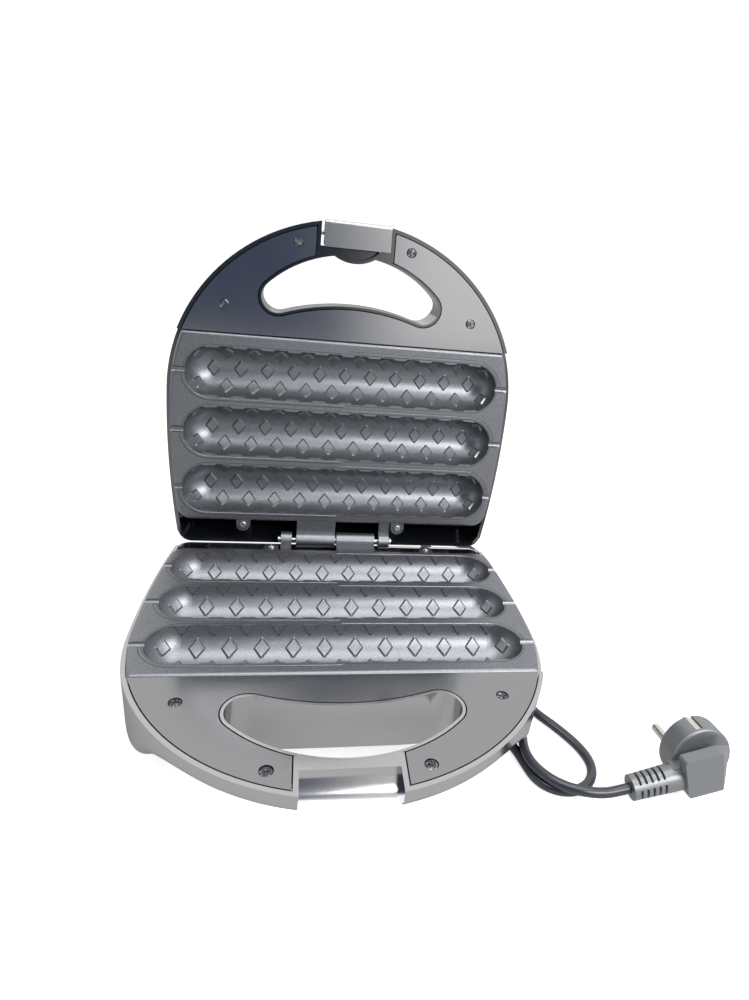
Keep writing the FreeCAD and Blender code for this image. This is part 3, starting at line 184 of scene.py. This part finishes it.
class Nodes:
    """The node tree of a material or of the world."""

    def __init__(self, tree):
        self.tree = tree

    def plug(self, socket, value):
        """Sets a socket, or links it."""
        if isinstance(value, Wire):
            self.tree.links.new(value.socket, socket)
        elif isinstance(value, tuple) and len(value) == 3 and socket.type == "RGBA":
            socket.default_value = (*value, 1.0)
        else:
            socket.default_value = value

    def node(self, kind, settings, *values, out=0, **named):
        """Any node: its settings first, then its inputs in order or by name."""
        made = self.tree.nodes.new(kind)
        for key, value in settings.items():
            if key == "stops":
                for stop, (place, shade) in zip(made.color_ramp.elements, value):
                    stop.position = place
                    stop.color = (shade, shade, shade, 1.0)
            else:
                setattr(made, key, value)
        for index, value in enumerate(values):
            self.plug(made.inputs[index], value)
        for key, value in named.items():
            self.plug(made.inputs[key.replace("_", " ")], value)
        return Wire(self, made.outputs[out])

    def mix(self, factor, first, second):
        """Colour between first and second."""
        made = self.tree.nodes.new("ShaderNodeMix")
        made.data_type = "RGBA"
        ends = {socket.identifier: socket for socket in [*made.inputs, *made.outputs]}
        for name, value in (("Factor_Float", factor), ("A_Color", first), ("B_Color", second)):
            self.plug(ends[name], value)
        return Wire(self, ends["Result_Color"])


class Finish(Nodes):
    """A material: its Principled shader and the nodes that feed it."""

    def __init__(self, name, **fixed):
        self.material = bpy.data.materials.new(name)
        self.material.use_nodes = True
        super().__init__(self.material.node_tree)
        self.shader = self.tree.nodes["Principled BSDF"]
        for key, value in fixed.items():
            self.feed(key.replace("_", " "), value)

    def feed(self, name, value):
        """Sets or links one of the shader's own sockets."""
        self.plug(self.shader.inputs[name], value)
        return self

    def place(self):
        """Object coordinates: metres in the model's frame, carried along by the body."""
        return self.node("ShaderNodeTexCoord", {}, out="Object")

    def stretched(self, x, y, z):
        return self.node("ShaderNodeMapping", {"vector_type": "POINT"}, self.place(), Scale=(x, y, z))

    def noise(self, size, detail=2.0, roughness=0.5, vector=None):
        """Cloudy noise whose blotches are about size metres across."""
        vector = vector or self.place()
        named = {"Vector": vector, "Scale": 1.0 / size, "Detail": detail, "Roughness": roughness}
        return self.node("ShaderNodeTexNoise", {}, **named)

    def bump(self, height, distance, strength=1.0):
        """Normals tilted as a relief of distance metres would."""
        wire = self.node("ShaderNodeBump", {}, Height=height, Distance=distance, Strength=strength)
        return self.feed("Normal", wire)


def polished_black(name, dark, pale, index, level, rough):
    """Polished moulding: faint orange peel, wiped haze and a few dust specks."""
    f = Finish(name, IOR=index, Specular_IOR_Level=level)
    haze = f.noise(0.05, 3.0)
    dust = f.noise(0.0010, 1.0) > 0.75
    f.feed("Base Color", f.mix(dust * haze, dark, pale))
    f.feed("Roughness", rough + haze * 0.06)
    return f.bump(f.noise(0.004, 1.0), 0.00001, 0.4).material


def nonstick():
    """Sprayed non-stick coating on cast metal: fine speckle, and faint strokes across the grooves."""
    f = Finish("nonstick", Metallic=0.9, Specular_IOR_Level=0.5)
    grain = f.noise(0.0006, 2.0, 0.7)
    cloud = f.noise(0.02, 3.0)
    strokes = f.noise(0.0012, 3.0, 0.6, f.stretched(1.0, 0.12, 0.12))
    speck = f.node("ShaderNodeValToRGB", {"stops": ((0.36, 0.0), (0.66, 1.0))}, grain)
    base = f.mix(speck, (0.15, 0.16, 0.18), (0.34, 0.35, 0.37))
    worn = f.mix(strokes * 0.5, base, (0.30, 0.30, 0.32))
    f.feed("Base Color", f.mix(cloud * 0.3, worn, (0.21, 0.215, 0.235)))
    f.feed("Roughness", 0.29 + grain * 0.10 + strokes * 0.08)
    return f.bump(grain + strokes * 0.5, 0.00005, 0.5).material


def painted_shade_line():
    """Painted shade: a dark finish standing in for the shadow at the foot of a bead and at the recess edge in the
    casting.
    """
    f = Finish("painted_shade_line", Metallic=0.3)
    grain = f.noise(0.0006, 2.0)
    f.feed("Base Color", f.mix(grain, (0.05, 0.05, 0.058), (0.12, 0.12, 0.13)))
    f.feed("Roughness", 0.5 + grain * 0.2)
    return f.material


def steel():
    """Zinc-plated steel with turned marks and small stains."""
    f = Finish("steel", Metallic=1.0)
    stain = f.noise(0.004, 3.0)
    f.feed("Base Color", f.mix(stain, (0.52, 0.52, 0.54), (0.66, 0.65, 0.64)))
    f.feed("Roughness", 0.22 + stain * 0.2)
    return f.bump(f.noise(0.0006, 2.0), 0.00002, 0.4).material


def dark_screw():
    """Blackened steel, rubbed bright on its high spots."""
    f = Finish("dark_screw", Metallic=0.9)
    rubbed = f.noise(0.0016, 3.0, 0.7)
    worn = f.node("ShaderNodeValToRGB", {"stops": ((0.52, 0.0), (0.62, 1.0))}, rubbed)
    f.feed("Base Color", f.mix(worn, (0.09, 0.095, 0.11), (0.55, 0.55, 0.56)))
    f.feed("Roughness", 0.3 + rubbed * 0.2)
    return f.bump(rubbed, 0.00003, 0.5).material


def element_sheath():
    """Heat-tinted sheath of the element."""
    f = Finish("element_sheath", Metallic=0.9)
    tint = f.noise(0.012, 3.0)
    f.feed("Base Color", f.mix(tint, (0.20, 0.16, 0.13), (0.34, 0.33, 0.35)))
    f.feed("Roughness", 0.35 + tint * 0.2)
    return f.bump(f.noise(0.0008, 2.0), 0.00003, 0.5).material


def tray_metal():
    """Bright rolled sheet, with lines along the rolling direction."""
    f = Finish("tray_metal", Metallic=1.0)
    lines = f.noise(0.001, 2.0, vector=f.stretched(0.03, 1.0, 1.0))
    f.feed("Base Color", f.mix(lines, (0.58, 0.58, 0.59), (0.74, 0.74, 0.75)))
    f.feed("Roughness", 0.2 + lines * 0.2)
    return f.bump(lines, 0.00002, 0.4).material


def ceramic_body():
    """Unglazed fired body."""
    f = Finish("ceramic_body")
    pores = f.noise(0.0008, 3.0)
    f.feed("Base Color", f.mix(pores, (0.70, 0.67, 0.60), (0.80, 0.78, 0.72)))
    f.feed("Roughness", 0.6 + pores * 0.25)
    return f.bump(pores, 0.00004, 0.6).material


def rubber(name, dark, pale, rough, grain):
    """Smooth rubber or soft PVC: slightly mottled, with a fine skin."""
    f = Finish(name, Specular_IOR_Level=0.45)
    mottle = f.noise(0.010, 3.0)
    skin = f.noise(grain, 2.0)
    f.feed("Base Color", f.mix(mottle, dark, pale))
    f.feed("Roughness", rough + skin * 0.15)
    return f.bump(skin, grain * 0.05, 0.5).material


def plug_metal():
    """Nickel plating, lightly scratched along the pin."""
    f = Finish("plug_metal", Metallic=1.0)
    scratch = f.noise(0.0005, 2.0, vector=f.stretched(1.0, 0.05, 1.0))
    f.feed("Base Color", f.mix(scratch, (0.62, 0.60, 0.55), (0.80, 0.78, 0.73)))
    f.feed("Roughness", 0.16 + scratch * 0.2)
    return f.bump(scratch, 0.00001, 0.4).material


def lens_plastic(name, dark, pale):
    """Tinted lens, a little cloudy inside."""
    f = Finish(name, Specular_IOR_Level=0.6, Coat_Weight=0.5)
    cloud = f.noise(0.003, 2.0)
    f.feed("Base Color", f.mix(cloud, dark, pale))
    f.feed("Roughness", 0.08 + cloud * 0.08)
    return f.bump(f.noise(0.0006, 1.0), 0.00002, 0.4).material


def lamp_glass():
    f = Finish("lamp_glass", IOR=1.45, Transmission_Weight=0.9)
    f.feed("Base Color", f.mix(f.noise(0.002), (0.86, 0.86, 0.84), (0.95, 0.94, 0.92)))
    f.feed("Roughness", 0.04 + f.noise(0.004) * 0.05)
    return f.material


FINISHES = {
    "gloss_black": polished_black("gloss_black", (0.012, 0.014, 0.018), (0.06, 0.06, 0.065), 1.9, 0.9, 0.08),
    "nonstick": nonstick(),
    "steel": steel(),
    "element_sheath": element_sheath(),
    "tray_metal": tray_metal(),
    "ceramic_body": ceramic_body(),
    "foot_rubber": rubber("foot_rubber", (0.020, 0.020, 0.021), (0.035, 0.035, 0.036), 0.6, 0.0008),
    "cord_sheath": polished_black("cord_sheath", (0.030, 0.034, 0.048), (0.10, 0.10, 0.12), 1.6, 0.55, 0.22),
    "plug_moulding": polished_black("plug_moulding", (0.14, 0.15, 0.165), (0.22, 0.23, 0.24), 2.0, 0.7, 0.33),
    "plug_metal": plug_metal(),
    "clamp_plastic": rubber("clamp_plastic", (0.50, 0.48, 0.43), (0.58, 0.56, 0.50), 0.4, 0.0009),
    "red_lens": lens_plastic("red_lens", (0.42, 0.012, 0.010), (0.62, 0.03, 0.02)),
    "green_lens": lens_plastic("green_lens", (0.012, 0.25, 0.05), (0.03, 0.40, 0.09)),
    "lamp_glass": lamp_glass(),
}
LID_COVER_FINISH = polished_black(
    "lid_cover_black", (0.012, 0.014, 0.024), (0.09, 0.09, 0.10), 3.0, 1.0, 0.11
)
COVER_FINISH = polished_black("cover_black", (0.012, 0.015, 0.022), (0.09, 0.09, 0.10), 2.35, 1.0, 0.10)
BASE_FINISH = polished_black("base_black", (0.014, 0.016, 0.018), (0.08, 0.08, 0.085), 3.1, 1.0, 0.12)
LATCH_FINISH = polished_black("latch_black", (0.045, 0.042, 0.040), (0.12, 0.12, 0.12), 3.1, 1.0, 0.16)
# Painted shade: the dark finish of the strips beside the bead and along the recess edge
PAINTED_SHADE_FINISH = painted_shade_line()
SCREW_FINISH = dark_screw()
SPECIAL = {
    "lower_handle_screws": SCREW_FINISH, "upper_handle_screws": SCREW_FINISH,
    "lower_handle_cover": COVER_FINISH, "upper_handle_cover": LID_COVER_FINISH,
    "lower_shell": BASE_FINISH, "latch": LATCH_FINISH,
}


def dress_frame():
    """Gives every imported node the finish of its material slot."""
    slots = {row["node"]: row["material_slot"] for row in frame["record"]["subparts"]}
    for name, piece in frame["nodes"].items():
        finish = SPECIAL.get(name) or FINISHES[slots[name]]
        piece.data.materials.clear()
        piece.data.materials.append(finish)


def mesh_piece(name, points, faces, finish, body, smooth=True):
    """A finished mesh whose place is in its vertices."""
    mesh = bpy.data.meshes.new(name)
    mesh.from_pydata(points.tolist(), [], faces.tolist())
    mesh.polygons.foreach_set("use_smooth", [smooth] * len(mesh.polygons))
    mesh.update()
    piece = bpy.data.objects.new(name, mesh)
    bpy.context.scene.collection.objects.link(piece)
    mesh.materials.append(finish)
    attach(piece, body)
    return piece


def in_base(mm):
    """Points in half coordinates (mm from the hinge axis) to metres in the model's frame."""
    return mm / 1000 + np.array([0.0, HINGE_Y, HINGE_Z])


def in_open_lid(mm):
    """Points drawn as if in the base, turned over onto it and swung open with the lid.

    Turning over negates x and z; the swing turns y and z by the opening angle about the hinge.
    """
    x, y, z = -mm[..., 0], mm[..., 1], -mm[..., 2]
    c, s = math.cos(OPEN_ANGLE), math.sin(OPEN_ANGLE)
    return in_base(np.stack([x, y * c + z * s, -y * s + z * c], -1))


def on_groove(u, v, rise):
    """Points inside a groove of round ends, standing rise off its wall.

    u runs along the groove and, past the straight part, round the end ball at the angle
    (|u| - straight) / radius; v is the distance round the section from its lowest line, so its
    angle is v / radius. The point lies radius - rise from the groove's axis, or from its end centre.
    """
    over = np.maximum(np.abs(u) - GROOVE_STRAIGHT, 0.0) / GROOVE_RADIUS
    reach = GROOVE_RADIUS - rise
    x = np.sign(u) * (np.minimum(np.abs(u), GROOVE_STRAIGHT) + reach * np.sin(over))
    y = reach * np.cos(over) * np.sin(v / GROOVE_RADIUS)
    z = -reach * np.cos(over) * np.cos(v / GROOVE_RADIUS)
    return np.stack([x, y, z], -1)


def grid_faces(rows, columns, first=0):
    """Quads of a grid of points laid row after row."""
    at = first + np.arange(rows * columns).reshape(rows, columns)
    quads = np.stack([at[:-1, :-1], at[1:, :-1], at[1:, 1:], at[:-1, 1:]], -1)
    return quads.reshape(-1, 4)


def diamond(u, v, half_width, half_arc):
    """Raised rhombus: the unit square turned on its corner, u by p + q - 1 and v by q - p.

    Its edge lies sunk in the wall, then its side climbs over a narrow bevel to a flat top.
    """
    steps = np.array([0.0, PAD_BEVEL, 0.5, 1 - PAD_BEVEL, 1.0])
    p, q = np.meshgrid(steps, steps, indexing="ij")
    inside = (p > 0) & (p < 1) & (q > 0) & (q < 1)
    rise = np.where(inside, PAD_RISE, PAD_SUNK)
    return on_groove(u + half_width * (p + q - 1), v + half_arc * (q - p), rise)


def half_diamond(u, side):
    """Raised half rhombus at the rim, a triangle: width by 1 - q, depth down the wall by q."""
    p, q = np.meshgrid(HALF_PAD_ACROSS, HALF_PAD_DOWN, indexing="ij")
    inside = (np.abs(p) < 1) & (q > 0) & (q < 1)
    rise = np.where(inside, PAD_RISE, PAD_SUNK)
    rim = GROOVE_RADIUS * math.pi / 2 - RIM_MARGIN
    return on_groove(u - side * PAD_HALF_WIDTH * p * (1 - q), side * (rim - PAD_HALF_ARC * q), rise)


def pads():
    """All raised pads of one plate: rows a row's width apart round the groove, half a pitch out of step."""
    even = PAD_PITCH * np.arange(-5, 6)
    odd = PAD_PITCH * (np.arange(-5, 5) + 0.5)
    patches = [diamond(u, 0.0, PAD_HALF_WIDTH, PAD_HALF_ARC) for u in even]
    for side in (-1, 1):
        patches += [diamond(u, side * PAD_ROW, PAD_HALF_WIDTH, PAD_HALF_ARC) for u in odd]
        for end in (-1, 1):
            patches.append(diamond(end * END_PAD_U, side * PAD_ROW, END_PAD_HALF_WIDTH, END_PAD_HALF_ARC))
        patches += [half_diamond(u, side) for u in even]
    one = np.array([patch.reshape(-1, 3) for patch in patches]).reshape(-1, 3)
    points = np.concatenate([one + (0.0, y, 0.0) for y in GROOVE_YS])
    firsts = np.arange(0, len(points), PATCH_SIDE**2)
    faces = grid_faces(PATCH_SIDE, PATCH_SIDE) + firsts[:, None, None]
    return points, faces.reshape(-1, 4)


def bead_paths(turn):
    """Centre lines beside the grooves: the near side on one half of a plate, the far side on the other.

    Each runs along the groove, then round a quarter of its end, a circle about the end's centre.
    """
    paths = []
    last = math.asin(CHANNEL_HALF_WIDTH / BEAD_RADIUS)
    swing = np.linspace(math.pi / 2, last, 17)
    bend = np.stack([GROOVE_STRAIGHT + BEAD_RADIUS * np.cos(swing), BEAD_RADIUS * np.sin(swing)], -1)
    one = np.concatenate([[[BEAD_START, BEAD_RADIUS]], bend])
    for y in GROOVE_YS:
        for half in (-1, 1):
            paths.append(one * (half, half * turn) + (0.0, y))
    return paths


def strip(lines, offsets, heights):
    """A profile carried along flat lines: each point steps sideways by offset, up by height."""
    points = []
    faces = []
    for line in lines:
        ahead = np.gradient(line, axis=0)
        ahead /= np.linalg.norm(ahead, axis=1)[:, None]
        across = np.stack([-ahead[:, 1], ahead[:, 0]], -1)
        flat = line[:, None] + across[:, None] * np.array(offsets)[None, :, None]
        lift = np.broadcast_to(PLATE_TOP + np.array(heights), flat.shape[:2])
        faces.append(grid_faces(len(line), len(offsets), sum(len(p) for p in points)))
        points.append(np.concatenate([flat, lift[..., None]], -1).reshape(-1, 3))
    return np.concatenate(points), np.concatenate(faces)


def plate_pattern(plate, place, body):
    """Pads, the raised bead and the painted shade lines of one plate."""
    coating = FINISHES["nonstick"]
    points, faces = pads()
    piece = mesh_piece(plate + "_pads", place(points), faces, coating, body)
    piece.data.set_sharp_from_angle(angle=math.radians(20))
    points, faces = strip(bead_paths(1), BEAD_ACROSS, BEAD_UP)
    mesh_piece(plate + "_bead", place(points), faces, coating, body, False)
    # Painted shade: dark strips laid just above the plate, beside the bead and at the recess edge
    for name, turn, offset, half_width in PAINTED_SHADE_LINES:
        across = (offset - half_width, offset + half_width)
        points, faces = strip(bead_paths(turn), across, (LINE_UP, LINE_UP))
        mesh_piece(plate + "_" + name, place(points), faces, PAINTED_SHADE_FINISH, body, False)


def cord():
    """Free stretch of the cord: one smooth spline through the route, with a round section."""
    curve = bpy.data.curves.new("mains_cord", "CURVE")
    curve.dimensions = "3D"
    spline = curve.splines.new("NURBS")
    spline.points.add(len(CORD_ROUTE) - 1)
    for point, (x, y, height) in zip(spline.points, CORD_ROUTE):
        point.co = (x / 1000, y / 1000 + HINGE_Y, height / 1000, 1.0)
    spline.order_u = 3
    spline.use_endpoint_u = True
    spline.resolution_u = 10
    curve.bevel_depth = CORD_DIAMETER / 2
    curve.bevel_resolution = 6
    curve.use_fill_caps = True
    piece = bpy.data.objects.new("mains_cord", curve)
    bpy.context.scene.collection.objects.link(piece)
    curve.materials.append(FINISHES["cord_sheath"])
    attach(piece, "base")
    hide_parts("power_cord")
    start = CORD_ROUTE[0]
    leaves = (start[0] / 1000, start[1] / 1000 + HINGE_Y, start[2] / 1000)


def camera():
    """The photograph's viewpoint: the turn is yaw about Z, then pitch about X, then roll about Y."""
    yaw, pitch, roll = (math.radians(a) for a in (-11.9, -18.8, -7.1))
    turn_z = np.array(Matrix.Rotation(yaw, 3, "Z"))
    turn_x = np.array(Matrix.Rotation(pitch, 3, "X"))
    turn_y = np.array(Matrix.Rotation(roll, 3, "Y"))
    turn = turn_z @ turn_x @ turn_y
    data = bpy.data.cameras.new("camera")
    data.sensor_width = 36.0
    data.lens = 25.2
    data.shift_x = -0.060
    data.shift_y = -0.077
    data.clip_start = 0.01
    data.clip_end = 20.0
    eye = bpy.data.objects.new("camera", data)
    bpy.context.scene.collection.objects.link(eye)
    matrix = np.eye(4)
    matrix[:3, 0] = turn[:, 0]
    matrix[:3, 1] = turn[:, 2]
    matrix[:3, 2] = -turn[:, 1]
    matrix[:3, 3] = (-0.033, HINGE_Y - 0.450, HINGE_Z + 0.250)
    eye.matrix_world = Matrix(matrix.tolist())
    bpy.context.scene.camera = eye


def lamp(name, place, target, size, watts):
    """Soft rectangular lamp aimed at a point."""
    data = bpy.data.lights.new(name, "AREA")
    data.shape = "RECTANGLE"
    data.size, data.size_y = size
    data.energy = watts
    piece = bpy.data.objects.new(name, data)
    bpy.context.scene.collection.objects.link(piece)
    away = Vector(place) - Vector(target)
    piece.rotation_mode = "QUATERNION"
    piece.rotation_quaternion = away.to_track_quat("Z", "Y")
    piece.location = place


def studio():
    """White surroundings, a pale floor that keeps the shadow, and soft lamps."""
    scene = bpy.context.scene
    scene.view_settings.view_transform = "Standard"
    world = bpy.data.worlds.new("surroundings")
    scene.world = world
    world.use_nodes = True
    room = Nodes(world.node_tree)
    background = room.tree.nodes["Background"]
    camera_ray, glossy_ray, clear_ray = [
        room.node("ShaderNodeLightPath", {}, out=ray)
        for ray in ("Is Camera Ray", "Is Glossy Ray", "Is Transmission Ray")
    ]
    seen = camera_ray.math("MAXIMUM", glossy_ray).math("MAXIMUM", clear_ray)
    level = room.node("ShaderNodeMapRange", {}, seen, 0.0, 1.0, WORLD_LIGHT, 1.0)
    room.plug(background.inputs["Strength"], level)

    # The dark part of the room, before the toaster and to its left, fades into the white all round
    facing = room.node("ShaderNodeTexCoord", {}, out="Generated")
    dark = 1 - camera_ray
    for axis, white_at, dark_at in DARK_ROOM:
        part = room.node("ShaderNodeSeparateXYZ", {}, facing, out=axis)
        smooth = {"interpolation_type": "SMOOTHSTEP"}
        dark = dark * room.node("ShaderNodeMapRange", smooth, part, white_at, dark_at)
    room.plug(background.inputs["Color"], room.mix(dark, (1.0, 1.0, 1.0), ROOM_COLOUR))

    floor_finish = Finish("floor", Roughness=0.9, Specular_IOR_Level=0.1)
    direct = floor_finish.node("ShaderNodeLightPath", {}, out="Is Camera Ray")
    reflected = floor_finish.node("ShaderNodeLightPath", {}, out="Is Glossy Ray")
    shade = floor_finish.mix(reflected, (0.86, 0.86, 0.86), (0.35, 0.35, 0.35))
    floor_finish.feed("Base Color", shade)
    floor_finish.feed("Emission Color", (1.0, 1.0, 1.0))
    floor_finish.feed("Emission Strength", direct * 0.75 + reflected * 0.3)
    points = np.array([[-1, -1, 0], [1, -1, 0], [1, 1, 0], [-1, 1, 0]]) * FLOOR_REACH
    mesh = bpy.data.meshes.new("floor")
    mesh.from_pydata(points.tolist(), [], [(0, 1, 2, 3)])
    mesh.materials.append(floor_finish.material)
    floor = bpy.data.objects.new("floor", mesh)
    bpy.context.scene.collection.objects.link(floor)

    lamp("ceiling", (0.1, -0.2, 1.35), (0, -0.05, 0.1), (1.4, 0.7), 8.0)
    lamp("window", (0.7, -0.95, 0.95), (0, 0.05, 0.1), (1.2, 0.6), 15.0)


dress_frame()
camera()
cord()
plate_pattern("lower_plate", in_base, "base")
plate_pattern("upper_plate", in_open_lid, "lid")
studio()
